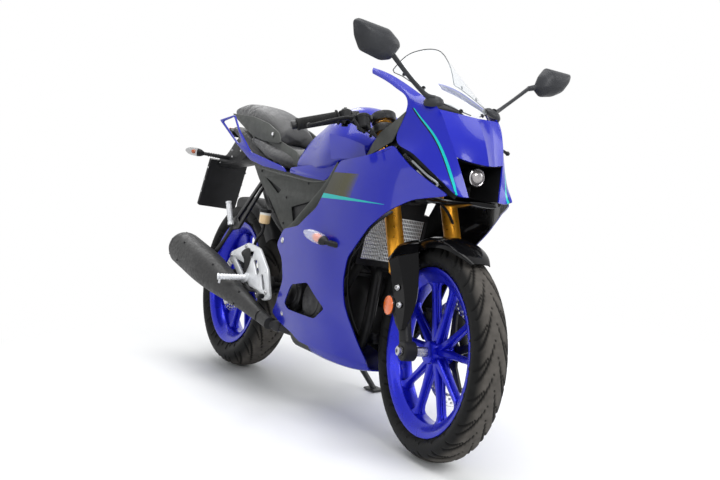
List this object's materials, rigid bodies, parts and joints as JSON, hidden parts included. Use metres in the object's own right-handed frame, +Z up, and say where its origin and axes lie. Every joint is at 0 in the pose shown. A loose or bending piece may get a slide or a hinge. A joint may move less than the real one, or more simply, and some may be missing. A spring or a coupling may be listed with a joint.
{
  "type": "sport bike",
  "caption": "Light faired sport motorcycle parked on its side stand, with turning wheels, steering and a folding side stand.",
  "frame": {"origin": "bottom centre of the parked machine's bounding box", "axes": "+X forward along the wheel line, +Y to the rider's left, +Z up"},
  "size_m": [2.0632, 0.767, 1.1917],
  "materials": {
    "frame_black": "satin black paint",
    "swingarm_black": "satin black paint",
    "engine_dark": "dark grey paint",
    "radiator_core": "bare fins",
    "steel": "machined",
    "shock_black": "gloss black",
    "muffler_black": "matt heat-proof black",
    "body_blue": "deep blue gloss",
    "seat_cover": "satin grained vinyl",
    "cover_grey": "matt dark grey",
    "panel_black": "black",
    "screen_clear": "clear",
    "lamp_clear": "clear lens",
    "lamp_red": "red lens",
    "mirror_grey": "matt dark grey",
    "cast_silver": "polished casting",
    "fork_gold": "gold anodised",
    "fork_black": "satin black",
    "grip_rubber": "moulded rubber",
    "rim_blue": "metallic blue",
    "tyre_rubber": "road rubber"
  },
  "bodies": {
    "chassis": {"main_frame": "frame_black", "subframe": "frame_black", "swingarm": "swingarm_black", "rear_axle": "steel", "rear_shock": "shock_black", "stand_bracket": "frame_black", "engine": "engine_dark", "radiator": "radiator_core", "exhaust_pipe": "steel", "muffler": "muffler_black", "fuel_tank": "body_blue", "rider_seat": "seat_cover", "pillion_seat": "seat_cover", "inner_tail": "cover_grey", "tail_blades": "body_blue", "side_cover_right": "cover_grey", "side_cover_left": "cover_grey", "side_fairing_right": "body_blue", "side_fairing_left": "body_blue", "inner_panels": "panel_black", "belly_pan": "panel_black", "upper_cowl": "body_blue", "windscreen": "screen_clear", "nose_duct": "panel_black", "headlight": "lamp_clear", "position_lamps": "lamp_clear", "instrument_panel": "panel_black", "mirror_right": "mirror_grey", "mirror_left": "mirror_grey", "front_signals": "lamp_clear", "rear_signals": "frame_black", "plate_holder": "frame_black", "tail_lamp": "lamp_red", "foot_rest_right": "cast_silver", "foot_rest_left": "cast_silver", "pillion_rests": "frame_black", "rear_hugger": "frame_black", "chain_guard": "frame_black", "chain": "steel", "rear_caliper": "fork_black"},
    "side_stand": {"side_stand": "frame_black"},
    "rear_wheel": {"rear_rim": "rim_blue", "rear_tyre": "tyre_rubber", "rear_disc": "steel", "rear_sprocket": "steel"},
    "steering": {"triple_clamps": "frame_black", "fork_uppers": "fork_gold", "fork_lowers": "steel", "fork_feet": "fork_black", "front_axle": "steel", "handlebars": "grip_rubber", "controls_right": "grip_rubber", "controls_left": "grip_rubber", "front_fender": "panel_black", "front_caliper": "fork_black"},
    "front_wheel": {"front_rim": "rim_blue", "front_tyre": "tyre_rubber", "front_disc": "steel"}
  },
  "joints": [
    {"name": "rear_wheel_spin", "type": "hinge", "parent": "chassis", "child": "rear_wheel", "pos_m": [-0.58657, -0.12599, 0.31098], "axis": [0, 0.985, -0.1726], "continuous": true},
    {"name": "steering_turn", "type": "hinge", "parent": "chassis", "child": "steering", "pos_m": [0.47469, -0.05289, 0.72808], "axis": [-0.4305, 0.1558, 0.889], "range_deg": [-21.5, 32.5]},
    {"name": "front_wheel_spin", "type": "hinge", "parent": "steering", "child": "front_wheel", "pos_m": [0.73823, -0.13365, 0.29395], "axis": [0.0865, 0.9876, -0.1312], "continuous": true},
    {"name": "side_stand_fold", "type": "hinge", "parent": "chassis", "child": "side_stand", "pos_m": [-0.08657, -0.01096, 0.22585], "axis": [0.0935, 0.907, 0.4107], "range_deg": [0, 113.32]}
  ]
}
